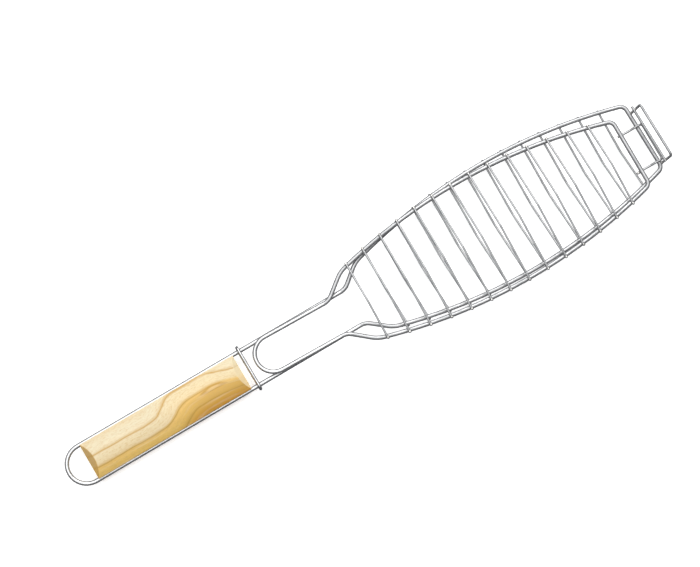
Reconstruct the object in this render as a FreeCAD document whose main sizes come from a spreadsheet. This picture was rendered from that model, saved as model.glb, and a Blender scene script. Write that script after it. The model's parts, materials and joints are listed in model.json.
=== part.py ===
"""Hinged wire basket for grilling one fish, with a wooden grip.

X runs from the hanging loop to the hinge, Y across and Z up. The origin is on the
surface that the basket stands on, midway along its length and on the base's centre line.
The lid is closed, pushed back towards the grip and a little askew, and the lock ring is
parked off the lid's neck, in the gap before the grip.
"""
import FreeCAD, Part
import math
import os

import Sketcher
from FreeCAD import Vector

SIZES = {
    # wires
    "wire_dia": 4.0,
    "cross_dia": 2.0,
    "hoop_dia": 2.5,
    "bail_dia": 2.2,
    "ring_dia": 2.6,
    "weld_sink": 0.2,
    # outline of both grids, measured from the centre of a grid's far bar
    "grid_length": 309.6,
    "grid_half_width": 52.9,
    "widest_from_bar": 143.0,
    "bar_half_width": 33.0,
    "hip_half_width": 34.2,
    "hip_from_shoulder": 28.0,
    "bar_corner_radius": 6.5,
    "shoulder_angle": 39.0,
    "shoulder_radius": 14.0,
    "hip_radius": 28.0,
    # necks
    "base_neck_half": 17.2,
    "base_neck_length": 265.5,
    "lid_neck_half": 16.3,
    "lid_neck_length": 60.0,
    # cross wires
    "base_cross_pitch": 19.18,
    "lid_cross_pitch": 19.42,
    "cross_from_bar": 22.8,
    "cross_overhang": 2.6,
    "bow_angle": 7.5,
    "kink_radius": 4.0,
    # how the lid lies on the base
    "grid_gap": 0.3,
    "lid_pushed_back": 18.8,
    "lid_skew": 1.2,
    "skew_pivot_from_bar": 375.0,
    # ladder on the base's far bar
    "hoop_half_width": 26.5,
    "hoop_offset": -2.5,
    "hoop_height": 28.0,
    "hoop_foot": 1.0,
    "hoop_corner_radius": 3.2,
    "hoop_lean": 2.5,
    "rung_height": 14.0,
    "rung_overhang": 2.0,
    # bail on the lid's far bar; its reach and its ramp are measured from the base bar's surface
    "bail_half_width": 18.4,
    "bail_reach": 2.6,
    "bail_over": 0.5,
    "bail_drop": 2.6,
    "bail_ramp_start": 6.0,
    "bail_ramp_end": 1.5,
    "bail_flat_end": 1.5,
    "bail_bend_radius": 2.4,
    # lock ring
    "ring_side_clearance": 0.3,
    "ring_height_clearance": 0.35,
    "ring_inner_corner": 2.0,
    # wooden grip
    "grip_length": 152.4,
    "grip_side_inset": 0.5,
    "grip_thickness": 21.0,
    "grip_dome": 5.5,
    "grip_end_bevel": 5.5,
    "grip_foot_chamfer": 1.5,
    "grip_groove_clearance": 0.05,
    "grip_from_loop": 2.5,
}

# Values that follow from the sizes, as formulas of the second sheet.
PLACES = {
    "wire_radius": "sizes.wire_dia / 2",
    "cross_radius": "sizes.cross_dia / 2",
    "bow_rise": "tan(sizes.bow_angle * 1 deg)",
    "cross_weld": "wire_radius + cross_radius - sizes.weld_sink",
    "base_height": "cross_weld + cross_radius + sizes.grid_half_width * bow_rise",
    "lid_height": "base_height + sizes.wire_dia + sizes.grid_gap",
    "bar_flank_rise": "sizes.grid_half_width - sizes.bar_half_width",
    "bar_flank_run": "sizes.widest_from_bar",
    "bar_flank_radius": "(bar_flank_run * bar_flank_run + bar_flank_rise * bar_flank_rise)"
                        " / (2 * bar_flank_rise)",
    "neck_flank_rise": "sizes.grid_half_width - sizes.hip_half_width",
    "neck_flank_run": "sizes.grid_length - sizes.hip_from_shoulder - sizes.widest_from_bar",
    "neck_flank_radius": "(neck_flank_run * neck_flank_run + neck_flank_rise * neck_flank_rise)"
                         " / (2 * neck_flank_rise)",
    "hoop_out": "wire_radius + sizes.hoop_dia / 2 - sizes.weld_sink",
    "hoop_tip": "hoop_out + sizes.hoop_height * sin(sizes.hoop_lean * 1 deg) + sizes.hoop_dia / 2",
    "back_reach": "sizes.grid_length + sizes.base_neck_length + sizes.base_neck_half + wire_radius",
    "bar_place": "(back_reach - hoop_tip) / 2",
    "lid_bar_place": "bar_place - sizes.lid_pushed_back",
    "pivot_place": "bar_place - sizes.skew_pivot_from_bar",
    "loop_place": "bar_place - sizes.grid_length - sizes.base_neck_length",
    "lid_loop_tip": "lid_bar_place - sizes.grid_length - sizes.lid_neck_length"
                    " - sizes.lid_neck_half - wire_radius",
    "grip_half_width": "sizes.base_neck_half - sizes.grip_side_inset",
    "dome_radius": "(grip_half_width * grip_half_width + sizes.grip_dome * sizes.grip_dome)"
                   " / (2 * sizes.grip_dome)",
    "grip_start": "loop_place + sizes.grip_from_loop",
    "grip_end": "grip_start + sizes.grip_length",
    "ring_place": "(grip_end + lid_loop_tip) / 2",
    "ring_radius": "sizes.ring_dia / 2",
    "lid_neck_swing": "(sizes.skew_pivot_from_bar - sizes.grid_length - sizes.lid_pushed_back)"
                      " * sin(sizes.lid_skew * 1 deg)",
    "widest_neck": "max(sizes.base_neck_half; sizes.lid_neck_half + abs(lid_neck_swing))",
    "ring_half_width": "widest_neck + wire_radius + sizes.ring_side_clearance + ring_radius",
    "ring_half_height": "sizes.wire_dia + sizes.grid_gap / 2 + sizes.ring_height_clearance + ring_radius",
    "ring_bend": "sizes.ring_inner_corner + ring_radius",
}

doc = FreeCAD.newDocument("grill_basket")


def make_sheet(name, cells):
    """A sheet with one named value per row."""
    sheet = doc.addObject("Spreadsheet::Sheet", name)
    for row, (alias, content) in enumerate(cells.items(), start=1):
        sheet.set(f"A{row}", alias)
        sheet.set(f"B{row}", str(content))
        sheet.setAlias(f"B{row}", alias)
    doc.recompute()
    return sheet


sizes = make_sheet("sizes", SIZES)
places = make_sheet("places", {alias: "=" + formula for alias, formula in PLACES.items()})


def size(alias):
    """The number behind an alias of either sheet."""
    value = getattr(sizes if alias in SIZES else places, alias)
    return float(getattr(value, "Value", value))


def origin_plane(body, role):
    return next(f for f in body.Origin.OriginFeatures if f.Role == role)


def new_sketch(body, role, name):
    sketch = body.newObject("Sketcher::SketchObject", name)
    sketch.AttachmentSupport = [(origin_plane(body, role), "")]
    sketch.MapMode = "FlatFace"
    return sketch


def new_body(label):
    body = doc.addObject("PartDesign::Body", label)
    body.Label = label
    return body


def rule(sketch, *terms):
    """A constraint with no size."""
    sketch.addConstraint(Sketcher.Constraint(*terms))


def dimension(sketch, formula, kind, *terms):
    """A constraint whose size follows a formula of the sheets."""
    value = float(evaluate(formula))
    if kind == "Angle":
        value = math.radians(value)
        formula = f"({formula}) * 1 deg"
    index = sketch.addConstraint(Sketcher.Constraint(kind, *terms, value))
    sketch.setExpression(f"Constraints[{index}]", formula)


def evaluate(formula):
    value = doc.getObject("sizes").evalExpression(formula)
    return getattr(value, "Value", value)


def arc(centre, radius, start, end):
    """Arc in a sketch, anticlockwise between two angles in radians."""
    circle = Part.Circle(Vector(*centre, 0), Vector(0, 0, 1), radius)
    return Part.ArcOfCircle(circle, start, end)


def line(start, end):
    return Part.LineSegment(Vector(*start, 0), Vector(*end, 0))


def mirrored_wire(label, path_role, draw_path, start, diameter):
    """A bent wire that is the same on both sides of its XZ plane.

    draw_path draws the +Y half of the centre line, from a point of the XZ plane,
    and start gives the formulas of that point's X and Z.
    """
    body = new_body(label)
    path = new_sketch(body, path_role, label + "_path")
    draw_path(path)
    profile = new_sketch(body, "XZ_Plane", label + "_profile")
    start_at = [evaluate(formula) for formula in start]
    centre = Vector(start_at[0], start_at[1], 0)
    profile.addGeometry(Part.Circle(centre, Vector(0, 0, 1), evaluate(diameter) / 2))
    dimension(profile, diameter, "Diameter", 0)
    for axis, formula, value in zip(("DistanceX", "DistanceY"), start, start_at):
        if abs(value) > 1e-9:
            dimension(profile, formula, axis, -1, 1, 0, 3)
        else:
            rule(profile, "PointOnObject", 0, 3, -2 if axis == "DistanceX" else -1)
    doc.recompute()
    half = body.newObject("PartDesign::AdditivePipe", label + "_half")
    half.Profile = profile
    half.Spine = path
    doc.recompute()
    whole = body.newObject("PartDesign::Mirrored", label + "_whole")
    whole.Originals = [half]
    whole.MirrorPlane = (origin_plane(body, "XZ_Plane"), [""])
    body.Tip = whole
    return body


def neck_path(neck_half, neck_length):
    """Half of a neck: the loop round its end, and one leg up to the shoulder."""

    def draw(sketch):
        right = math.pi / 2
        half = size(neck_half)
        end = -size("grid_length")
        loop = end - size(neck_length)
        sketch.addGeometry([
            arc((loop, 0), half, right, 2 * right),
            line((loop, half), (end, half)),
        ])
        rule(sketch, "Tangent", 0, 1, 1, 1)
        rule(sketch, "PointOnObject", 0, 3, -1)
        rule(sketch, "PointOnObject", 0, 2, -1)
        rule(sketch, "Horizontal", 1)
        dimension(sketch, f"sizes.{neck_half}", "Radius", 0)
        dimension(sketch, f"sizes.{neck_length}", "DistanceX", 0, 3, 1, 2)
        dimension(sketch, "sizes.grid_length", "DistanceX", 1, 2, -1, 1)

    return draw


def outline_path(neck_half):
    """Half of a grid's outline: shoulder, ramp, hip, flank, far corner and far bar."""

    def draw(sketch):
        right = math.pi / 2
        lean = math.radians(size("shoulder_angle"))
        shoulder = size("shoulder_radius")
        hip = size("hip_radius")
        corner = size("bar_corner_radius")
        widest = -size("widest_from_bar")
        neck_flank = size("neck_flank_radius")
        bar_flank = size("bar_flank_radius")
        shoulder_centre = Vector(-size("grid_length"), size(neck_half) + shoulder, 0)
        neck_flank_centre = Vector(widest, size("grid_half_width") - neck_flank, 0)
        bar_flank_centre = (widest, size("grid_half_width") - bar_flank)
        along = Vector(math.cos(lean), math.sin(lean), 0)
        inward = Vector(math.sin(lean), -math.cos(lean), 0)
        ramp_start = shoulder_centre + inward * shoulder
        reach = ramp_start + inward * hip - neck_flank_centre
        shift = reach.dot(along)
        ramp = -shift - math.sqrt(shift**2 - reach.dot(reach) + (neck_flank - hip) ** 2)
        if ramp < 0:
            ramp = -2 * shift - ramp
        ramp_end = ramp_start + along * ramp
        hip_centre = ramp_end + inward * hip
        from_flank = hip_centre - neck_flank_centre
        hip_turn = math.atan2(from_flank.y, from_flank.x)
        corner_side = -corner - widest
        corner_up = math.sqrt((bar_flank - corner) ** 2 - corner_side**2)
        corner_centre = (-corner, bar_flank_centre[1] + corner_up)
        corner_turn = math.atan2(corner_up, corner_side)
        sketch.addGeometry([
            arc(shoulder_centre[:2], shoulder, -right, lean - right),
            line(ramp_start[:2], ramp_end[:2]),
            arc(hip_centre[:2], hip, hip_turn, right + lean),
            arc(neck_flank_centre[:2], neck_flank, right, hip_turn),
            arc(bar_flank_centre, bar_flank, corner_turn, right),
            arc(corner_centre, corner, 0, corner_turn),
            line((0, corner_centre[1]), (0, 0)),
        ])
        for joint in ((0, 2, 1, 1), (1, 2, 2, 2), (2, 1, 3, 2),
                      (3, 1, 4, 2), (4, 1, 5, 2), (5, 1, 6, 1)):
            rule(sketch, "Tangent", *joint)
        rule(sketch, "Vertical", 0, 3, 0, 1)
        rule(sketch, "Vertical", 3, 3, 4, 3)
        rule(sketch, "Vertical", 6)
        rule(sketch, "Coincident", 6, 2, -1, 1)
        dimension(sketch, "sizes.shoulder_radius", "Radius", 0)
        dimension(sketch, "sizes.shoulder_angle", "Angle", 1)
        dimension(sketch, "sizes.hip_radius", "Radius", 2)
        dimension(sketch, "places.neck_flank_radius", "Radius", 3)
        dimension(sketch, "places.bar_flank_radius", "Radius", 4)
        dimension(sketch, "sizes.bar_corner_radius", "Radius", 5)
        dimension(sketch, "sizes.grid_length", "DistanceX", 0, 1, -1, 1)
        dimension(sketch, f"sizes.{neck_half}", "DistanceY", -1, 1, 0, 1)
        dimension(sketch, "sizes.widest_from_bar", "DistanceX", 3, 3, -1, 1)
        dimension(sketch, "sizes.grid_half_width", "DistanceY", -1, 1, 3, 1)

    return draw


def frame_wires(grid):
    """A grid's thick wire in two runs, neck and outline; the far bar's middle is at X 0."""
    half = f"{grid}_neck_half"
    length = f"{grid}_neck_length"
    tip = f"-sizes.grid_length - sizes.{length} - sizes.{half}"
    neck = mirrored_wire(f"{grid}_neck", "XY_Plane", neck_path(half, length),
                         (tip, "0"), "sizes.wire_dia")
    outline = mirrored_wire(f"{grid}_outline", "XY_Plane", outline_path(half),
                            ("0", "0"), "sizes.wire_dia")
    return [neck, outline]


def cross_wire(label, station):
    """A straight wire with one kink at its middle, which bows down, at X 0."""
    aside = f"({station} - sizes.widest_from_bar)"
    flank = f"({aside} < 0 ? places.bar_flank_radius : places.neck_flank_radius)"
    half = (f"(sizes.grid_half_width - {flank} + sqrt({flank} * {flank} - {aside} * {aside})"
            " + sizes.cross_overhang)")
    kink = "(sizes.kink_radius / cos(sizes.bow_angle * 1 deg))"
    depth = f"-({half} * places.bow_rise - {kink} + sizes.kink_radius)"

    def draw(sketch):
        turn = math.radians(size("bow_angle"))
        bend = size("kink_radius")
        low = evaluate(depth)
        bend_end = (bend * math.sin(turn), low + bend * (1 - math.cos(turn)))
        right = math.pi / 2
        sketch.addGeometry([
            arc((0, low + bend), bend, -right, turn - right),
            line(bend_end, (evaluate(half), 0)),
        ])
        rule(sketch, "Tangent", 0, 2, 1, 1)
        rule(sketch, "PointOnObject", 0, 3, -2)
        rule(sketch, "PointOnObject", 0, 1, -2)
        rule(sketch, "PointOnObject", 1, 2, -1)
        dimension(sketch, "sizes.kink_radius", "Radius", 0)
        dimension(sketch, "sizes.bow_angle", "Angle", 1)
        dimension(sketch, half, "DistanceX", -1, 1, 1, 2)

    return mirrored_wire(label, "YZ_Plane", draw, ("0", depth), "sizes.cross_dia")


def hoop_path(sketch):
    """Half of the ladder's hoop: top bar, corner and leg."""
    half = size("hoop_half_width")
    top = size("hoop_height")
    bend = size("hoop_corner_radius")
    sketch.addGeometry([
        line((0, top), (half - bend, top)),
        arc((half - bend, top - bend), bend, 0, math.pi / 2),
        line((half, top - bend), (half, -size("hoop_foot"))),
    ])
    rule(sketch, "Tangent", 0, 2, 1, 2)
    rule(sketch, "Tangent", 1, 1, 2, 1)
    rule(sketch, "PointOnObject", 0, 1, -2)
    rule(sketch, "Horizontal", 0)
    rule(sketch, "Vertical", 2)
    dimension(sketch, "sizes.hoop_corner_radius", "Radius", 1)
    dimension(sketch, "sizes.hoop_height", "DistanceY", -1, 1, 0, 1)
    dimension(sketch, "sizes.hoop_half_width", "DistanceX", -1, 1, 2, 1)
    dimension(sketch, "sizes.hoop_foot", "DistanceY", 2, 2, -1, 1)


def ring_path(sketch):
    """Half of the lock ring: half its lower bar, one side and half its upper bar."""
    half = size("ring_half_width")
    high = size("ring_half_height")
    bend = size("ring_bend")
    right = math.pi / 2
    sketch.addGeometry([
        line((0, -high), (half - bend, -high)),
        arc((half - bend, bend - high), bend, -right, 0),
        line((half, bend - high), (half, high - bend)),
        arc((half - bend, high - bend), bend, 0, right),
        line((half - bend, high), (0, high)),
    ])
    for joint in ((0, 2, 1, 1), (1, 2, 2, 1), (2, 2, 3, 1), (3, 2, 4, 1)):
        rule(sketch, "Tangent", *joint)
    rule(sketch, "PointOnObject", 0, 1, -2)
    rule(sketch, "PointOnObject", 4, 2, -2)
    rule(sketch, "Horizontal", 0)
    rule(sketch, "Vertical", 2)
    rule(sketch, "Equal", 1, 3)
    dimension(sketch, "places.ring_bend", "Radius", 1)
    dimension(sketch, "places.ring_half_width", "DistanceX", -1, 1, 2, 1)
    dimension(sketch, "places.ring_half_height", "DistanceY", 0, 1, -1, 1)
    dimension(sketch, "places.ring_half_height", "DistanceY", -1, 1, 4, 2)


def place(piece, placement):
    """Bind a piece's whole placement to a formula."""
    piece.setExpression("Placement", placement)


def at(x, y, z, turn="rotation(vector(0; 0; 1); 0)"):
    return f"placement(vector({x}; {y}; {z}); {turn})"


ON_LID = at("places.pivot_place", "0", "places.lid_height",
            "rotation(vector(0; 0; 1); -sizes.lid_skew)")


def on_lid(x, z, turn="rotation(vector(0; 0; 1); 0)"):
    """A place given as if the lid lay straight, turned by the lid's skew."""
    return ON_LID + " * " + at(f"{x} - places.pivot_place", "0", z, turn)


def cross_wire_count():
    """As many wires as stand at the lid's pitch between the far bar and the hips."""
    room = size("grid_length") - size("hip_from_shoulder") - size("cross_from_bar")
    return 1 + math.floor(room / size("lid_cross_pitch"))


def make_grids():
    """Both grids: two runs of thick wire each, and cross wires numbered from the neck."""
    base = frame_wires("base")
    lid = frame_wires("lid")
    for run in base:
        place(run, at("places.bar_place", "0", "places.base_height"))
    for run in lid:
        place(run, on_lid("places.lid_bar_place", "0"))
    nodes = base + lid
    weld = "(places.cross_weld - sizes.cross_overhang * places.bow_rise)"
    over = "rotation(vector(1; 0; 0); 180)"
    count = cross_wire_count()
    for number in range(1, count + 1):
        steps = count - number
        away = f"(sizes.cross_from_bar + sizes.base_cross_pitch * {steps})"
        lower = cross_wire(f"base_cross_wire_{number:02d}", away)
        place(lower, at(f"places.bar_place - {away}", "0", f"places.base_height - {weld}"))
        away = f"(sizes.cross_from_bar + sizes.lid_cross_pitch * {steps})"
        upper = cross_wire(f"lid_cross_wire_{number:02d}", away)
        place(upper, on_lid(f"places.lid_bar_place - {away}", weld, over))
        nodes += [lower, upper]
    return nodes


def make_ladder():
    """The hoop on the base's far bar, and the rung that gives it two hooking heights."""
    hoop = mirrored_wire("ladder_hoop", "YZ_Plane", hoop_path,
                         ("0", "sizes.hoop_height"), "sizes.hoop_dia")
    foot = at("places.bar_place + places.hoop_out", "sizes.hoop_offset", "places.base_height",
              "rotation(vector(0; 1; 0); sizes.hoop_lean)")
    place(hoop, foot)
    rung = doc.addObject("Part::Cylinder", "ladder_rung")
    rung.Label = "ladder_rung"
    rung.setExpression("Radius", "sizes.hoop_dia / 2")
    rung.setExpression("Height", "2 * sizes.hoop_half_width + sizes.hoop_dia + sizes.rung_overhang")
    start = at("sizes.weld_sink - sizes.hoop_dia", "-sizes.hoop_half_width - sizes.hoop_dia / 2",
               "sizes.rung_height", "rotation(vector(1; 0; 0); -90)")
    place(rung, foot + " * " + start)
    return [hoop, rung]


def make_ring():
    ring = mirrored_wire("lock_ring", "YZ_Plane", ring_path,
                         ("0", "-places.ring_half_height"), "sizes.ring_dia")
    middle = "(places.base_height + places.lid_height) / 2"
    place(ring, at("places.ring_place", "0", middle))
    return ring


def rounded_path(corners, radius):
    """A wire through the corners, with a tangent arc at each inner one."""
    edges = []
    last = corners[0]
    for before, corner, after in zip(corners, corners[1:], corners[2:]):
        back = (before - corner).normalize()
        ahead = (after - corner).normalize()
        turn = math.pi - back.getAngle(ahead)
        setback = radius * math.tan(turn / 2)
        towards = (back + ahead).normalize()
        middle = corner + towards * (radius / math.cos(turn / 2) - radius)
        arc_start = corner + back * setback
        arc_end = corner + ahead * setback
        edges.append(Part.LineSegment(last, arc_start).toShape())
        edges.append(Part.Arc(arc_start, middle, arc_end).toShape())
        last = arc_end
    edges.append(Part.LineSegment(last, corners[-1]).toShape())
    return Part.Wire(edges)


def make_bail():
    """The lid's hook: under its far bar, over the base's far bar and down behind it."""
    bar = size("lid_pushed_back")
    bar_near = bar - size("wire_radius")
    bar_far = bar + size("wire_radius")
    drop = -size("wire_dia") - size("grid_gap")
    radius = size("bail_dia") / 2
    level = size("weld_sink") - size("wire_radius") - radius
    over = drop + size("wire_radius") + radius + size("bail_over")
    half = size("bail_half_width")
    arm = [
        (-radius, level),
        (bar_near - size("bail_ramp_start"), level),
        (bar_near - size("bail_ramp_end"), over),
        (bar + size("bail_flat_end"), over),
        (bar_far + size("bail_reach"), over - size("bail_drop")),
    ]
    left = [Vector(x, half, z) for x, z in arm]
    right = [Vector(x, -half, z) for x, z in reversed(arm)]
    spine = rounded_path(left + right, size("bail_bend_radius"))
    section = Part.Wire(Part.Circle(left[0], Vector(1, 0, 0), radius).toShape())
    bail = doc.addObject("Part::Feature", "lid_bail")
    bail.Label = "lid_bail"
    bail.Shape = spine.makePipeShell([section], True, False)
    place(bail, on_lid("places.lid_bar_place", "0"))
    return bail


def grip_section(sketch):
    """Outline across the grip: flat underside, straight sides and a domed top."""
    half = size("grip_half_width")
    foot = size("grip_foot_chamfer")
    top = size("grip_thickness")
    side = top - size("grip_dome")
    dome = size("dome_radius")
    dome_end = math.atan2(side - (top - dome), half)
    sketch.addGeometry([
        line((foot - half, 0), (half - foot, 0)),
        line((half - foot, 0), (half, foot)),
        line((half, foot), (half, side)),
        arc((0, top - dome), dome, dome_end, math.pi - dome_end),
        line((-half, side), (-half, foot)),
        line((-half, foot), (foot - half, 0)),
    ])
    for index in range(6):
        rule(sketch, "Coincident", index, 2, (index + 1) % 6, 1)
    rule(sketch, "PointOnObject", 0, 1, -1)
    rule(sketch, "Horizontal", 0)
    rule(sketch, "Vertical", 2)
    rule(sketch, "Vertical", 4)
    dimension(sketch, "places.grip_half_width", "DistanceX", -1, 1, 2, 1)
    dimension(sketch, "places.grip_half_width", "DistanceX", 4, 1, -1, 1)
    dimension(sketch, "sizes.grip_foot_chamfer", "DistanceX", 0, 2, 1, 2)
    dimension(sketch, "sizes.grip_foot_chamfer", "DistanceX", 5, 1, 5, 2)
    dimension(sketch, "sizes.grip_foot_chamfer", "DistanceY", 1, 1, 1, 2)
    dimension(sketch, "sizes.grip_foot_chamfer", "DistanceY", 5, 2, 5, 1)
    dimension(sketch, "sizes.grip_thickness - sizes.grip_dome", "DistanceY", -1, 1, 2, 2)
    dimension(sketch, "sizes.grip_thickness - sizes.grip_dome", "DistanceY", -1, 1, 4, 1)
    dimension(sketch, "places.dome_radius", "Radius", 3)


def grip_grooves(sketch):
    """Circles that cut a groove for the frame wire along each side."""
    neck = size("base_neck_half")
    height = size("base_height")
    radius = size("wire_radius") + size("grip_groove_clearance")
    for index, side in enumerate((1, -1)):
        sketch.addGeometry(Part.Circle(Vector(side * neck, height, 0), Vector(0, 0, 1), radius))
        dimension(sketch, "places.wire_radius + sizes.grip_groove_clearance", "Radius", index)
        dimension(sketch, "places.base_height", "DistanceY", -1, 1, index, 3)
    dimension(sketch, "sizes.base_neck_half", "DistanceX", -1, 1, 0, 3)
    dimension(sketch, "sizes.base_neck_half", "DistanceX", 1, 3, -1, 1)


def grip_bevels(sketch):
    """Triangles above the two ends' bevels, a little larger than the wood they remove."""
    margin = 1.0
    top = size("grip_thickness") + margin
    bevel = size("grip_end_bevel") + margin
    for end, inward, number in ((-margin, 1, 0), (size("grip_length") + margin, -1, 1)):
        reach = bevel + margin
        corners = [(end, top), (end + inward * reach, top), (end, top - reach)]
        first = 3 * number
        sketch.addGeometry([line(a, b) for a, b in zip(corners, corners[1:] + corners[:1])])
        for side in range(3):
            rule(sketch, "Coincident", first + side, 2, first + (side + 1) % 3, 1)
        rule(sketch, "Horizontal", first)
        rule(sketch, "Vertical", first + 2)
        rule(sketch, "Equal", first, first + 2)
        dimension(sketch, f"sizes.grip_end_bevel + {2 * margin}", "DistanceY", first + 2, 1, first, 1)
        dimension(sketch, f"sizes.grip_thickness + {margin}", "DistanceY", -1, 1, first, 1)
    dimension(sketch, f"{margin}", "DistanceX", 0, 1, -1, 1)
    dimension(sketch, f"sizes.grip_length + {margin}", "DistanceX", -1, 1, 3, 1)


def cut_through(body, label, sketch_role, draw, both_ways):
    """Pocket the whole body with a drawn shape, and check that wood really went."""
    before = body.Shape.Volume
    sketch = new_sketch(body, sketch_role, label + "_sketch")
    draw(sketch)
    doc.recompute()
    cut = body.newObject("PartDesign::Pocket", label)
    cut.Profile = sketch
    cut.Type = "ThroughAll"
    if both_ways:
        cut.SideType = "Symmetric"
    else:
        cut.Reversed = True
    doc.recompute()
    if body.Shape.Volume >= before:
        raise RuntimeError(f"{label} removed nothing")


def make_grip():
    """A pine block with a domed top, bevelled ends and a groove along each side."""
    body = new_body("grip")
    section = new_sketch(body, "YZ_Plane", "grip_section")
    grip_section(section)
    block = body.newObject("PartDesign::Pad", "grip_block")
    block.Profile = section
    block.setExpression("Length", "sizes.grip_length")
    doc.recompute()
    cut_through(body, "grip_groove_cut", "YZ_Plane", grip_grooves, both_ways=False)
    cut_through(body, "grip_bevel_cut", "XZ_Plane", grip_bevels, both_ways=True)
    place(body, at("places.grip_start", "0", "0"))
    return body


def check(nodes):
    """Stop unless every object recomputed and every node is a sound single solid."""
    doc.recompute()
    for item in doc.Objects:
        if "Invalid" in item.State or "Error" in item.State:
            raise RuntimeError(f"{item.Label} failed: {item.State}")
    for node in nodes:
        shape = node.Shape
        if shape.isNull() or not shape.isValid() or len(shape.Solids) != 1:
            raise RuntimeError(f"{node.Label} is not one valid solid")


nodes = make_grids() + make_ladder() + [make_bail(), make_ring(), make_grip()]
check(nodes)
os.makedirs("parts", exist_ok=True)
for node in nodes:
    node.Shape.exportStep(f"parts/{node.Label}.step")
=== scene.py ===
import bmesh
import bpy
import json
import math
import random
from mathutils import Matrix, Vector, noise


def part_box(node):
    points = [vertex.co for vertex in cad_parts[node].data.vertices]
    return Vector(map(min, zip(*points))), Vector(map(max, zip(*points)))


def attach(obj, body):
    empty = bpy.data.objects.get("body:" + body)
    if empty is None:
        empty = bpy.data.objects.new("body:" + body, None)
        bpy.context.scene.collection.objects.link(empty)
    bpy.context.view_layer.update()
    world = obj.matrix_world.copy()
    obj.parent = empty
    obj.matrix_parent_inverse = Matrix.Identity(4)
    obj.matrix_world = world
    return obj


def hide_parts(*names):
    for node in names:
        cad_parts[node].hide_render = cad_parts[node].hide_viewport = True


# Grill basket: plated wire, welded crossings and a pine grip. Lengths are in metres.
MM = 0.001

# grip
GRIP_CROWN = 5.5 * MM
GRIP_END_BEVEL = 5.5 * MM
GRIP_FOOT_CHAMFER = 1.5 * MM
GRIP_ARRIS = 0.45 * MM
GRIP_SHARP_ANGLE = math.radians(28)
GRIP_STATIONS = 60
CROWN_STEPS = 28
GROOVE_CLEARANCE = 0.05 * MM
GROOVE_STEPS = 10
JOIN_DISTANCE = 0.01 * MM

# Grain of the grip, in millimetres. "Along" starts at the grip's middle and grows towards the
# basket. "Depth" crosses the growth rings. A pair is where something starts and where it is full.
GRAIN_PITCH = 11.2
GRAIN_FIRST_LINE = 2.0
GRAIN_WANDER = 3.4
GRAIN_TILT = 0.35
GRAIN_SWELL = 12.0
GRAIN_SLANT = 0.7
SLANT_FROM = -9.0
SWELL_RISE = (-6.0, 32.0)
SWELL_FALL = (52.0, 104.0)
LINES_DEPTH = (8.5, 6.0)
LINES_STRENGTH = 0.95
ARCH_ALONG = (54.0, 60.0)
ARCH_DEPTH = -9.2
ARCH_WIDTH = (4.0, 2.5)
LOOP_ALONG, LOOP_DEPTH = 47.5, -11.4
LOOP_HALF_LENGTH, LOOP_HALF_WIDTH = 11.0, 1.9
LOOP_RADIUS = 0.85
LOOP_LINE = (0.5, 0.1)
LOOP_STRENGTH = 0.8
RESIN_ALONG = (-10.0, 40.0)
RESIN_DEPTH = (-8.5, -13.0)
RESIN_STRENGTH = 0.5
BEVEL_EDGE = (6.0, 5.7)

# how far each pattern of the wood is stretched along the grip, across its rings and upwards
SLOW_STRETCH = (0.03, 0.1, 0.1)
FIBRE_STRETCH = (0.05, 1.0, 0.6)
PORE_STRETCH = (0.3, 1.0, 1.0)

# tones of the wood
GROWTH_RANGE = (-27.0, 17.0)
HEARTWOOD = (0.76, 0.35, 0.03)
RESINOUS_WOOD = (0.82, 0.54, 0.13)
GOLDEN_WOOD = (0.80, 0.53, 0.16)
CREAM_WOOD = (0.77, 0.62, 0.36)
SAPWOOD = (0.73, 0.65, 0.46)
OUTER_WOOD = (0.68, 0.54, 0.33)
GROWTH_TONES = [
    (0.0, HEARTWOOD), (0.16, RESINOUS_WOOD), (0.39, GOLDEN_WOOD),
    (0.45, CREAM_WOOD), (0.80, SAPWOOD), (1.0, OUTER_WOOD)]
LINE_PROFILE = [
    (0.0, (1.0, 1.0, 1.0)), (0.06, (0.45, 0.45, 0.45)), (0.18, (0.10, 0.10, 0.10)),
    (0.30, (0.0, 0.0, 0.0)), (0.88, (0.0, 0.0, 0.0)), (0.95, (0.35, 0.35, 0.35)),
    (1.0, (1.0, 1.0, 1.0))]
LATE_WOOD = (0.50, 0.27, 0.04)
FIBRE_TONE = (0.58, 0.36, 0.12)
PALE_SPOT = (0.86, 0.76, 0.56)
RESIN_TONE = (0.50, 0.26, 0.04)
# painted shade on the bevel at the hanging loop, and painted light on the bevel at the basket
LOOP_BEVEL_PAINTED_SHADE = (0.62, 0.36, 0.08)
BASKET_BEVEL_PAINTED_LIGHT = (0.86, 0.72, 0.46)

# wires
FRAME_WIRE = 4.0 * MM
CROSS_WIRE = 2.0 * MM
THIN_WIRE = 2.5 * MM
BAIL_WIRE = 2.2 * MM
CROSS_OVERHANG = 2.6 * MM
END_TOLERANCE = 0.2 * MM

# finish of each kind of wire: its bright tint, its dull tint, its roughness and its metallic share
WIRE_FINISHES = {
    "frame_wire_plate": ((0.58, 0.58, 0.58), (0.50, 0.505, 0.51), 0.20, 0.76),
    "thin_wire_plate": ((0.60, 0.60, 0.60), (0.50, 0.51, 0.52), 0.20, 0.85),
    # the cross wires and the outlines have darker tints than the necks and the ring: painted shade on
    # the same nickel plate
    "cross_painted_shade_plate": ((0.46, 0.46, 0.465), (0.38, 0.385, 0.39), 0.32, 0.55),
    "painted_shade_plate": ((0.44, 0.44, 0.445), (0.37, 0.375, 0.38), 0.30, 0.66),
}
WELD_TONES = [(0.3, (0.46, 0.44, 0.41)), (0.7, (0.74, 0.73, 0.71))]

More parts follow.
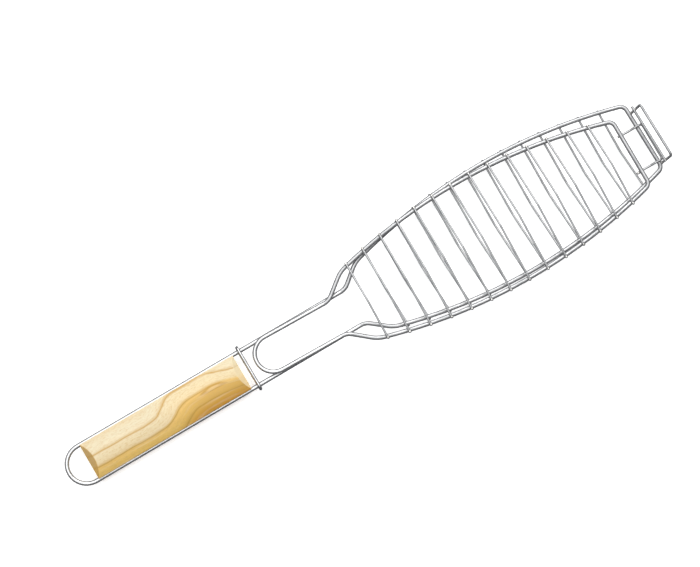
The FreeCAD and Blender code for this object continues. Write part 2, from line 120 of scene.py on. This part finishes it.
# places of the welds; the lid lies askew, so its far bar recedes from one end to the other
BASE_BUTT_WELD_Y = -0.9 * MM
LID_BUTT_WELDS_Y = (-5.9 * MM, -20.4 * MM)
LID_BAR_END_Y = 19.0 * MM
LID_SKEW = math.radians(1.2)
BAIL_BELOW_BAR = 0.9 * MM
STUB_REACH = 1.2 * MM
CROSS_WELD_RISE = 0.42
FLAT_END_INSET = 0.42

# lumps of weld metal, as half-sizes along X, Y and Z
BUTT_COLLAR = FRAME_WIRE / 2 + 0.18 * MM
BUTT_WELD = (BUTT_COLLAR, 0.9 * MM, BUTT_COLLAR)
CROSS_WELD = (1.35 * MM, 1.75 * MM, 0.62 * MM)
FLAT_END = (1.22 * MM, 1.55 * MM, 0.92 * MM)
HOOP_WELD = (0.9 * MM, 1.75 * MM, 1.5 * MM)
RUNG_WELD = (0.8 * MM, 1.5 * MM, 1.4 * MM)
HOOP_FOOT = (THIN_WIRE / 2, THIN_WIRE / 2, 0.45 * MM)
RUNG_END = (THIN_WIRE / 2, 0.5 * MM, THIN_WIRE / 2)
BAIL_WELD = (1.7 * MM, 1.5 * MM, 0.6 * MM)
BAIL_END = (0.4 * MM, BAIL_WIRE / 2, BAIL_WIRE / 2)
BAIL_STUB = (2.2 * MM, 1.3 * MM, 1.2 * MM)
WELD_UNEVENNESS = 0.08
FLAT_END_UNEVENNESS = 0.12
UNEVEN_PATTERN = 1.4
PATTERN_SPREAD = 20

# stage: the paper glows a little, to the camera only, which softens the shadows on it
FLOOR_HALF_SIZE = 4.0
FLOOR_CELLS = 8
PAPER_TONES = ((0.92, 0.92, 0.92), (0.94, 0.94, 0.94))
# the paper as bright metal mirrors it: painted dark, a painted reflection
PAINTED_DARK_REFLECTION = (0.10, 0.10, 0.11)
PAPER_GLOW = 0.5

# studio: bright almost overhead, dark low down, and plain grey to the camera itself
BRIGHT_SIDE = Vector((0.12, 0.40, 0.91))
WALL_TONES = [
    (0.0, (0.03, 0.031, 0.034)), (0.55, (0.09, 0.094, 0.10)),
    (0.80, (0.40, 0.41, 0.42)), (0.95, (1.0, 1.0, 1.0))]
WALLS_TO_CAMERA = (0.62, 0.62, 0.62)
STUDIO_STRENGTH = 1.6

# soft lights: place, width and height, and power in watts
SOFTBOXES = {
    "key_light": (Vector((0.7, 1.1, 1.3)), (1.2, 0.8), 15.0),
    "top_light": (Vector((-0.2, 0.1, 2.2)), (2.4, 2.4), 24.0),
}

# camera: where it stands, what it looks at, and which way on the floor is up in the picture
CAMERA_PLACE = Vector((-0.1957, -0.1055, 1.5108))
CAMERA_TARGET = Vector((-0.0025, 0.0203, 0.0))
PICTURE_UP_DEGREES = 59.08
LENS_MM = 88.25
SENSOR_MM = 36.0
NEAREST_SEEN = 0.05

RANDOM_SEED = 7

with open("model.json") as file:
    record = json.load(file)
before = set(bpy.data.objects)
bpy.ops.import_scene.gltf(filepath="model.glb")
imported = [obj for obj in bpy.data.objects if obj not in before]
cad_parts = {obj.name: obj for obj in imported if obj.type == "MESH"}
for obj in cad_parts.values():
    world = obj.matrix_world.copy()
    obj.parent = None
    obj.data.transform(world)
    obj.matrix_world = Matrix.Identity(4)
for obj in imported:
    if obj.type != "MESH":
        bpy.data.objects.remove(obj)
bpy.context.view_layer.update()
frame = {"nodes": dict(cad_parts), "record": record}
random.seed(RANDOM_SEED)


# ---------------------------------------------------------------- node helpers

def new_material(name):
    """An empty node material with its shader and output, and the shader's tree."""
    material = bpy.data.materials.new(name)
    material.use_nodes = True
    tree = material.node_tree
    tree.nodes.clear()
    output = tree.nodes.new("ShaderNodeOutputMaterial")
    shader = tree.nodes.new("ShaderNodeBsdfPrincipled")
    tree.links.new(shader.outputs["BSDF"], output.inputs["Surface"])
    return material, tree, shader


def math_node(tree, operation, first, second=None):
    """A Math node; each term is a socket or a number."""
    node = tree.nodes.new("ShaderNodeMath")
    node.operation = operation
    for slot_number, term in enumerate((first, second)):
        if isinstance(term, (int, float)):
            node.inputs[slot_number].default_value = term
        elif term is not None:
            tree.links.new(term, node.inputs[slot_number])
    return node.outputs["Value"]


def times(tree, first, second):
    """The product of two terms."""
    return math_node(tree, "MULTIPLY", first, second)


def minus(tree, first, second):
    """The difference of two terms."""
    return math_node(tree, "SUBTRACT", first, second)


def distance_from(tree, value, middle):
    """How far value is from middle, on either side."""
    return math_node(tree, "ABSOLUTE", minus(tree, value, middle))


def map_range(tree, value, start, end, interpolation="LINEAR"):
    """A Map Range node from start..end to 0..1."""
    node = tree.nodes.new("ShaderNodeMapRange")
    node.interpolation_type = interpolation
    tree.links.new(value, node.inputs["Value"])
    node.inputs["From Min"].default_value = start
    node.inputs["From Max"].default_value = end
    return node


def rise(tree, value, start, end, low=0.0, high=1.0):
    """A smooth step of value, from low at start to high at end."""
    node = map_range(tree, value, start, end, "SMOOTHSTEP")
    node.inputs["To Min"].default_value = low
    node.inputs["To Max"].default_value = high
    return node.outputs["Result"]


def object_millimetres(tree):
    """The object's own coordinates in millimetres."""
    coordinates = tree.nodes.new("ShaderNodeTexCoord")
    scale = tree.nodes.new("ShaderNodeVectorMath")
    scale.operation = "SCALE"
    scale.inputs["Scale"].default_value = 1 / MM
    tree.links.new(coordinates.outputs["Object"], scale.inputs[0])
    return scale.outputs["Vector"]


def noise_texture(tree, vector, scale, detail=3.0, rough=0.5):
    """Cloudy noise about 0.5."""
    node = tree.nodes.new("ShaderNodeTexNoise")
    tree.links.new(vector, node.inputs["Vector"])
    node.inputs["Scale"].default_value = scale
    node.inputs["Detail"].default_value = detail
    node.inputs["Roughness"].default_value = rough
    node.inputs["Distortion"].default_value = 0.0
    return node.outputs["Fac"]


def colour_ramp(tree, value, stops):
    """A ColorRamp whose stops are (place, colour)."""
    node = tree.nodes.new("ShaderNodeValToRGB")
    ramp = node.color_ramp
    while len(ramp.elements) < len(stops):
        ramp.elements.new(0.5)
    for element, (place, colour) in zip(ramp.elements, stops):
        element.position = place
        element.color = (*colour, 1.0)
    tree.links.new(value, node.inputs["Fac"])
    return node.outputs["Color"]


def mix_colours(tree, amount, first, second):
    """A mix from first to second; amount is a socket, and each colour a socket or constant."""
    node = tree.nodes.new("ShaderNodeMix")
    node.data_type = "RGBA"
    tree.links.new(amount, node.inputs[0])
    colour_sockets = [s for s in node.inputs if s.type == "RGBA"]
    for socket, term in zip(colour_sockets, (first, second)):
        if isinstance(term, tuple):
            socket.default_value = (*term, 1.0)
        else:
            tree.links.new(term, socket)
    return next(s for s in node.outputs if s.type == "RGBA")


def stretched(tree, terms, factors):
    """A point made of three terms, each multiplied by its factor."""
    node = tree.nodes.new("ShaderNodeCombineXYZ")
    for axis, term, factor in zip("XYZ", terms, factors):
        tree.links.new(times(tree, term, factor), node.inputs[axis])
    return node.outputs["Vector"]


def add_bump(tree, shader, height, strength, distance):
    """Relief on the shader's surface."""
    node = tree.nodes.new("ShaderNodeBump")
    node.inputs["Strength"].default_value = strength
    node.inputs["Distance"].default_value = distance
    tree.links.new(height, node.inputs["Height"])
    tree.links.new(node.outputs["Normal"], shader.inputs["Normal"])


# ---------------------------------------------------------------- metal

def plated_wire(name, tint, dull_tint, roughness, metallic):
    """Nickel plate with faint clouding and a slightly uneven surface."""
    material, tree, shader = new_material(name)
    place = object_millimetres(tree)
    clouds = noise_texture(tree, place, scale=0.09, detail=4.0, rough=0.6)
    specks = noise_texture(tree, place, scale=1.7, detail=2.0)
    shade = rise(tree, clouds, start=0.35, end=0.75)
    tree.links.new(mix_colours(tree, shade, tint, dull_tint), shader.inputs["Base Color"])
    rough = rise(tree, clouds, start=0.3, end=0.8, low=roughness, high=roughness + 0.12)
    tree.links.new(rough, shader.inputs["Roughness"])
    shader.inputs["Metallic"].default_value = metallic
    add_bump(tree, shader, specks, strength=0.05, distance=0.02 * MM)
    return material


def weld_metal(name):
    """Pressed weld: blotched metal, a little straw coloured where it is dark."""
    material, tree, shader = new_material(name)
    place = object_millimetres(tree)
    patches = noise_texture(tree, place, scale=0.6, detail=4.0, rough=0.65)
    tree.links.new(colour_ramp(tree, patches, WELD_TONES), shader.inputs["Base Color"])
    rough = rise(tree, patches, start=0.3, end=0.7, low=0.42, high=0.26)
    tree.links.new(rough, shader.inputs["Roughness"])
    shader.inputs["Metallic"].default_value = 1.0
    add_bump(tree, shader, patches, strength=0.35, distance=0.08 * MM)
    return material


# ---------------------------------------------------------------- wood

def grip_coordinates(tree, middle_x, top):
    """Millimetres along the grip from its middle, across it, up from the floor and up from its top."""
    split = tree.nodes.new("ShaderNodeSeparateXYZ")
    tree.links.new(object_millimetres(tree), split.inputs["Vector"])
    along = minus(tree, split.outputs["X"], middle_x / MM)
    height = split.outputs["Z"]
    return along, split.outputs["Y"], height, minus(tree, height, top / MM)


def ring_depth(tree, along, across, height, from_top):
    """Depth across the growth rings: level near the hanging loop, swelling towards the basket."""
    slanted = times(tree, minus(tree, across, SLANT_FROM), GRAIN_SLANT)
    swell_place = math_node(tree, "ADD", along, slanted)
    swelling = rise(tree, swell_place, *SWELL_RISE, high=GRAIN_SWELL)
    fading = rise(tree, swell_place, *SWELL_FALL, low=1.0, high=0.0)
    swell = times(tree, swelling, fading)
    slow_place = stretched(tree, (along, across, height), SLOW_STRETCH)
    slow = noise_texture(tree, slow_place, scale=1.0, detail=2.0)
    wander = times(tree, minus(tree, slow, 0.5), GRAIN_WANDER)
    depth = math_node(tree, "ADD", minus(tree, across, swell), wander)
    return math_node(tree, "ADD", depth, times(tree, from_top, GRAIN_TILT))


def draw_rings(tree, wood, along, depth):
    """Late wood darkens one line in each ring, but not in the outer wood or where the arches close."""
    past_first = minus(tree, depth, GRAIN_FIRST_LINE)
    ring = math_node(tree, "FRACT", math_node(tree, "DIVIDE", past_first, GRAIN_PITCH))
    lines = times(tree, colour_ramp(tree, ring, LINE_PROFILE), rise(tree, depth, *LINES_DEPTH))
    near_arch = rise(tree, distance_from(tree, depth, ARCH_DEPTH), *ARCH_WIDTH)
    closing = times(tree, rise(tree, along, *ARCH_ALONG), near_arch)
    lines = times(tree, lines, minus(tree, 1.0, closing))
    return mix_colours(tree, times(tree, lines, LINES_STRENGTH), wood, LATE_WOOD)


def draw_inner_loop(tree, wood, along, depth):
    """The innermost ring closes in a narrow loop."""
    place = tree.nodes.new("ShaderNodeCombineXYZ")
    loop_long = math_node(tree, "DIVIDE", minus(tree, along, LOOP_ALONG), LOOP_HALF_LENGTH)
    loop_wide = math_node(tree, "DIVIDE", minus(tree, depth, LOOP_DEPTH), LOOP_HALF_WIDTH)
    tree.links.new(loop_long, place.inputs["X"])
    tree.links.new(loop_wide, place.inputs["Y"])
    size = tree.nodes.new("ShaderNodeVectorMath")
    size.operation = "LENGTH"
    tree.links.new(place.outputs["Vector"], size.inputs[0])
    off_loop = distance_from(tree, size.outputs["Value"], LOOP_RADIUS)
    return mix_colours(tree, rise(tree, off_loop, *LOOP_LINE, high=LOOP_STRENGTH), wood, LATE_WOOD)


def draw_resin(tree, wood, along, depth):
    """The innermost wood darkens with resin towards the basket."""
    towards_basket = rise(tree, along, *RESIN_ALONG, high=RESIN_STRENGTH)
    resinous = times(tree, towards_basket, rise(tree, depth, *RESIN_DEPTH))
    return mix_colours(tree, resinous, wood, RESIN_TONE)


def paint_bevel_light_and_shade(tree, wood, to_end, from_top, amount, tone):
    """One sawn bevel, covered by the painted light or painted shade given as its tone."""
    past_arris = minus(tree, to_end, from_top)
    return mix_colours(tree, rise(tree, past_arris, *BEVEL_EDGE, high=amount), wood, tone)


def pine(name, low, high):
    """Plain-sawn pine for a grip between two corners, with sawn bevels at its ends."""
    material, tree, shader = new_material(name)
    half_length = (high.x - low.x) / 2 / MM
    along, across, height, from_top = grip_coordinates(tree, (low.x + high.x) / 2, high.z)
    depth = ring_depth(tree, along, across, height, from_top)
    wood = colour_ramp(tree, map_range(tree, depth, *GROWTH_RANGE).outputs["Result"], GROWTH_TONES)
    wood = draw_rings(tree, wood, along, depth)
    wood = draw_inner_loop(tree, wood, along, depth)
    wood = draw_resin(tree, wood, along, depth)

    # fibres follow the rings; pores are shorter, and blotches are broad
    fibre_place = stretched(tree, (along, depth, height), FIBRE_STRETCH)
    pore_place = stretched(tree, (along, depth, height), PORE_STRETCH)
    fibres = noise_texture(tree, fibre_place, scale=1.5, detail=5.0, rough=0.62)
    pores = noise_texture(tree, pore_place, scale=1.1, detail=5.0, rough=0.75)
    blotches = noise_texture(tree, fibre_place, scale=0.35)
    wood = mix_colours(tree, rise(tree, fibres, start=0.46, end=0.76, high=0.35), wood, FIBRE_TONE)
    wood = mix_colours(tree, rise(tree, pores, start=0.44, end=0.72, high=0.6), wood, FIBRE_TONE)
    wood = mix_colours(tree, rise(tree, blotches, start=0.5, end=0.8, high=0.3), wood, PALE_SPOT)

    # painted shade darkens the bevel at the hanging loop, which faces away from the light, and painted
    # light makes the one at the basket pale
    to_loop_end = math_node(tree, "ADD", along, half_length)
    wood = paint_bevel_light_and_shade(tree, wood, to_loop_end, from_top, 0.75, LOOP_BEVEL_PAINTED_SHADE)
    to_basket_end = minus(tree, half_length, along)
    wood = paint_bevel_light_and_shade(tree, wood, to_basket_end, from_top, 0.6, BASKET_BEVEL_PAINTED_LIGHT)
    tree.links.new(wood, shader.inputs["Base Color"])

    rough = rise(tree, fibres, start=0.3, end=0.8, low=0.50, high=0.66)
    tree.links.new(rough, shader.inputs["Roughness"])
    shader.inputs["Specular IOR Level"].default_value = 0.35
    relief = math_node(tree, "ADD", times(tree, pores, 0.6), fibres)
    add_bump(tree, shader, relief, strength=0.35, distance=0.12 * MM)
    return material


# ---------------------------------------------------------------- mesh helpers

def new_piece(name, mesh_source, material, body, replaced=()):
    """A finished mesh object that rides on a body."""
    mesh = bpy.data.meshes.new(name)
    mesh_source.to_mesh(mesh)
    mesh_source.free()
    mesh.materials.append(material)
    for polygon in mesh.polygons:
        polygon.use_smooth = True
    piece = bpy.data.objects.new(name, mesh)
    bpy.context.scene.collection.objects.link(piece)
    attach(piece, body)
    if replaced:
        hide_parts(*replaced)
    return piece


def add_lump(target, centre, radii, unevenness=WELD_UNEVENNESS):
    """A small lump of metal, slightly uneven, added to a mesh under construction."""
    lump = bmesh.ops.create_icosphere(target, subdivisions=3, radius=1.0)
    seed = Vector((random.random(), random.random(), random.random())) * PATTERN_SPREAD
    for vertex in lump["verts"]:
        uneven = 1 + unevenness * noise.noise(vertex.co * UNEVEN_PATTERN + seed)
        shaped = Vector([vertex.co[axis] * radii[axis] * uneven for axis in range(3)])
        vertex.co = centre + shaped


def cross_wires(grid):
    """The names of a grid's cross wires, in order along it."""
    return sorted(node for node in frame["nodes"] if node.startswith(f"{grid}_cross_wire_"))


def wire_ends(node):
    """The middles of a cross wire's two ends, -Y first."""
    low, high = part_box(node)
    ends = []
    for limit in (low.y, high.y):
        vertices = frame["nodes"][node].data.vertices
        near = [v.co for v in vertices if abs(v.co.y - limit) < END_TOLERANCE]
        ends.append(sum(near, Vector()) / len(near))
    return ends


# ---------------------------------------------------------------- grip

def grip_side():
    """Points up the +Y side of the grip's section as (y, z): foot, groove for the wire, arris."""
    low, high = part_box("grip")
    neck_low, neck_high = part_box("base_neck")
    half = (high.y - low.y) / 2
    wire_y = neck_high.y - FRAME_WIRE / 2
    wire_z = (neck_low.z + neck_high.z) / 2
    groove = FRAME_WIRE / 2 + GROOVE_CLEARANCE
    groove_angle = math.acos((wire_y - half) / groove)
    side = [(half - GRIP_FOOT_CHAMFER, 0.0), (half, GRIP_FOOT_CHAMFER)]
    for step in range(GROOVE_STEPS + 1):
        angle = math.pi + (groove_angle - 2 * groove_angle * step / GROOVE_STEPS)
        side.append((wire_y + groove * math.cos(angle), wire_z + groove * math.sin(angle)))
    side.append((half, high.z - GRIP_CROWN))
    return side


def grip_crown():
    """Points over the grip's domed top as (y, z), from +Y to -Y."""
    low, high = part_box("grip")
    half = (high.y - low.y) / 2
    radius = (half**2 + GRIP_CROWN**2) / (2 * GRIP_CROWN)
    centre_z = high.z - radius
    half_angle = math.asin(half / radius)
    crown = []
    for step in range(1, CROWN_STEPS):
        angle = half_angle * (1 - 2 * step / CROWN_STEPS)
        crown.append((radius * math.sin(angle), centre_z + radius * math.cos(angle)))
    return crown


def sweep_grip(build, start_x, end_x):
    """The grip's section, drawn from one end to the other and closed."""
    side = grip_side()
    outline = side + grip_crown() + [(-y, z) for y, z in reversed(side)]
    rings = []
    for station in range(GRIP_STATIONS + 1):
        x = start_x + (end_x - start_x) * station / GRIP_STATIONS
        rings.append([build.verts.new((x, y, z)) for y, z in outline])
    for before, after in zip(rings, rings[1:]):
        for index in range(len(outline)):
            following = (index + 1) % len(outline)
            build.faces.new((before[index], before[following], after[following], after[index]))
    build.faces.new(list(reversed(rings[0])))
    build.faces.new(rings[-1])


def saw_bevel(build, end_x, facing, top):
    """A sloping cut at one end of the grip."""
    geometry = build.verts[:] + build.edges[:] + build.faces[:]
    cut = bmesh.ops.bisect_plane(
        build, geom=geometry, plane_co=(end_x, 0, top - GRIP_END_BEVEL),
        plane_no=(facing, 0, 1), clear_outer=True)
    edges = [item for item in cut["geom_cut"] if isinstance(item, bmesh.types.BMEdge)]
    bmesh.ops.edgeloop_fill(build, edges=edges)


def make_grip(material):
    """The wooden grip: domed block, grooved sides, bevelled ends and eased arrises."""
    low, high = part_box("grip")
    build = bmesh.new()
    sweep_grip(build, low.x, high.x)
    for end_x, facing in ((low.x, -1), (high.x, 1)):
        saw_bevel(build, end_x, facing, high.z)
    bmesh.ops.remove_doubles(build, verts=build.verts[:], dist=JOIN_DISTANCE)
    bmesh.ops.recalc_face_normals(build, faces=build.faces[:])
    piece = new_piece("wooden_grip", build, material, "base", ["grip"])
    ease = piece.modifiers.new("eased_arrises", "BEVEL")
    ease.width = GRIP_ARRIS
    ease.segments = 3
    ease.limit_method = "ANGLE"
    ease.angle_limit = GRIP_SHARP_ANGLE
    ease.harden_normals = True


# ---------------------------------------------------------------- welds

def make_cross_welds(grid, material):
    """Where each cross wire is pressed into the outline: its squeeze-out and its flattened end."""
    upward = 1 if grid == "base" else -1
    build = bmesh.new()
    for node in cross_wires(grid):
        for side, end in zip((-1, 1), wire_ends(node)):
            inward = Vector((0, -side, 0))
            crossing = end + inward * CROSS_OVERHANG
            contact = crossing + Vector((0, 0, upward * CROSS_WIRE * CROSS_WELD_RISE))
            add_lump(build, contact, CROSS_WELD)
            pad = end + inward * (FLAT_END_INSET * CROSS_OVERHANG)
            add_lump(build, pad, FLAT_END, FLAT_END_UNEVENNESS)
    new_piece(f"{grid}_cross_welds", build, material, grid)


def make_base_welds(material):
    """The base's butt weld, the ladder's welds and the rounded ends of its wires."""
    bar_low, bar_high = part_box("base_outline")
    hoop_low, hoop_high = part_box("ladder_hoop")
    rung_low, rung_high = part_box("ladder_rung")
    thin_radius = THIN_WIRE / 2
    bar_x = bar_high.x - FRAME_WIRE / 2
    bar_z = (bar_low.z + bar_high.z) / 2
    rung_x = (rung_low.x + rung_high.x) / 2
    rung_z = (rung_low.z + rung_high.z) / 2
    build = bmesh.new()
    add_lump(build, Vector((bar_x, BASE_BUTT_WELD_Y, bar_z)), BUTT_WELD)
    for leg_y in (hoop_low.y + thin_radius, hoop_high.y - thin_radius):
        foot = Vector((hoop_low.x + thin_radius, leg_y, hoop_low.z))
        add_lump(build, Vector((bar_x + FRAME_WIRE / 2, leg_y, bar_z)), HOOP_WELD)
        add_lump(build, Vector((rung_x + thin_radius, leg_y, rung_z)), RUNG_WELD)
        add_lump(build, foot, HOOP_FOOT, unevenness=0)
    for end_y in (rung_low.y, rung_high.y):
        add_lump(build, Vector((rung_x, end_y, rung_z)), RUNG_END, unevenness=0)
    new_piece("base_welds", build, material, "base")


def make_lid_welds(material):
    """The lid's two butt welds, and the bail's welds and wire ends under its far bar."""
    bar_low, bar_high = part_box("lid_outline")
    bail_low, bail_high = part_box("lid_bail")
    arm = BAIL_WIRE / 2
    bar_z = (bar_low.z + bar_high.z) / 2
    under = bar_z - FRAME_WIRE / 2
    slope = math.tan(LID_SKEW)

    def bar_x(y):
        return bar_high.x - FRAME_WIRE / 2 - (LID_BAR_END_Y - y) * slope

    build = bmesh.new()
    for y in LID_BUTT_WELDS_Y:
        add_lump(build, Vector((bar_x(y), y, bar_z)), BUTT_WELD)
    for y in (bail_low.y + arm, bail_high.y - arm):
        add_lump(build, Vector((bar_x(y), y, under)), BAIL_WELD)
        add_lump(build, Vector((bail_low.x, y, under - BAIL_BELOW_BAR)), BAIL_END, unevenness=0)
    stub = Vector((bail_low.x - STUB_REACH, bail_low.y + arm, under - BAIL_BELOW_BAR))
    add_lump(build, stub, BAIL_STUB)
    new_piece("lid_welds", build, material, "lid")


# ---------------------------------------------------------------- finishes of the CAD's wires

def finish_of(node):
    """The plate of one wire: bright on the necks and the ring, and elsewhere a darker copy whose tint
    is painted shade.
    """
    if "cross_wire" in node:
        return "cross_painted_shade_plate"
    if "neck" in node:
        return "frame_wire_plate"
    if node == "lock_ring":
        return "thin_wire_plate"
    return "painted_shade_plate"


def paint_wires():
    """Give every wire of the CAD its plate."""
    plates = {name: plated_wire(name, *finish) for name, finish in WIRE_FINISHES.items()}
    for part in frame["record"]["subparts"]:
        if part["material_slot"] != "pine":
            mesh = frame["nodes"][part["node"]].data
            mesh.materials.clear()
            mesh.materials.append(plates[finish_of(part["node"])])


# ---------------------------------------------------------------- stage, light and camera

def floor_paper(name):
    """Matt white paper with a barely visible tooth; to glossy rays it is painted dark, a painted
    reflection that gives bright metal dark edges.
    """
    material, tree, shader = new_material(name)
    tooth = noise_texture(tree, object_millimetres(tree), scale=0.8, detail=2.0)
    paper = mix_colours(tree, tooth, *PAPER_TONES)
    path = tree.nodes.new("ShaderNodeLightPath")
    # glossy rays see the paper painted dark: a painted reflection
    colour = mix_colours(tree, path.outputs["Is Glossy Ray"], paper, PAINTED_DARK_REFLECTION)
    tree.links.new(colour, shader.inputs["Base Color"])
    shader.inputs["Emission Color"].default_value = (1.0, 1.0, 1.0, 1.0)
    glow = times(tree, path.outputs["Is Camera Ray"], PAPER_GLOW)
    tree.links.new(glow, shader.inputs["Emission Strength"])
    shader.inputs["Roughness"].default_value = 0.9
    shader.inputs["Specular IOR Level"].default_value = 0.1
    add_bump(tree, shader, tooth, strength=0.05, distance=0.05 * MM)
    return material


def make_floor():
    """The sheet of paper that the basket lies on."""
    build = bmesh.new()
    bmesh.ops.create_grid(build, x_segments=FLOOR_CELLS, y_segments=FLOOR_CELLS, size=FLOOR_HALF_SIZE)
    mesh = bpy.data.meshes.new("floor")
    build.to_mesh(mesh)
    build.free()
    mesh.materials.append(floor_paper("floor_paper"))
    floor = bpy.data.objects.new("floor", mesh)
    bpy.context.scene.collection.objects.link(floor)


def make_world():
    """The studio round the basket, which the wires mirror."""
    world = bpy.data.worlds.new("studio")
    bpy.context.scene.world = world
    world.use_nodes = True
    tree = world.node_tree
    tree.nodes.clear()
    output = tree.nodes.new("ShaderNodeOutputWorld")
    background = tree.nodes.new("ShaderNodeBackground")
    tree.links.new(background.outputs["Background"], output.inputs["Surface"])
    direction = tree.nodes.new("ShaderNodeTexCoord")
    towards_bright = tree.nodes.new("ShaderNodeVectorMath")
    towards_bright.operation = "DOT_PRODUCT"
    towards_bright.inputs[1].default_value = BRIGHT_SIDE.normalized()
    tree.links.new(direction.outputs["Generated"], towards_bright.inputs[0])
    walls = colour_ramp(tree, towards_bright.outputs["Value"], WALL_TONES)
    path = tree.nodes.new("ShaderNodeLightPath")
    seen = mix_colours(tree, path.outputs["Is Camera Ray"], walls, WALLS_TO_CAMERA)
    tree.links.new(seen, background.inputs["Color"])
    background.inputs["Strength"].default_value = STUDIO_STRENGTH


def add_softbox(name, place, size, power):
    """A rectangular soft light that faces the middle of the floor."""
    light = bpy.data.lights.new(name, "AREA")
    light.shape = "RECTANGLE"
    light.size, light.size_y = size
    light.energy = power
    lamp = bpy.data.objects.new(name, light)
    lamp.location = place
    lamp.rotation_euler = (-lamp.location).to_track_quat("-Z", "Y").to_euler()
    bpy.context.scene.collection.objects.link(lamp)


def make_camera():
    """The camera at the photograph's viewing angle."""
    camera = bpy.data.cameras.new("camera")
    camera.lens = LENS_MM
    camera.sensor_width = SENSOR_MM
    camera.clip_start = NEAREST_SEEN
    viewer = bpy.data.objects.new("camera", camera)
    forward = (CAMERA_TARGET - CAMERA_PLACE).normalized()
    heading = math.radians(PICTURE_UP_DEGREES)
    right = forward.cross(Vector((math.cos(heading), math.sin(heading), 0))).normalized()
    up = right.cross(forward)
    axes = Matrix((right, up, -forward)).transposed()
    viewer.matrix_world = Matrix.Translation(CAMERA_PLACE) @ axes.to_4x4()
    bpy.context.scene.collection.objects.link(viewer)
    bpy.context.scene.camera = viewer


paint_wires()
make_grip(pine("pine_wood", *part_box("grip")))
weld_plate = weld_metal("weld_plate")
make_cross_welds("base", weld_plate)
make_cross_welds("lid", weld_plate)
make_base_welds(weld_plate)
make_lid_welds(weld_plate)

make_floor()
make_world()
for softbox, (place, size, power) in SOFTBOXES.items():
    add_softbox(softbox, place, size, power)
make_camera()
bpy.context.scene.view_settings.view_transform = "Standard"
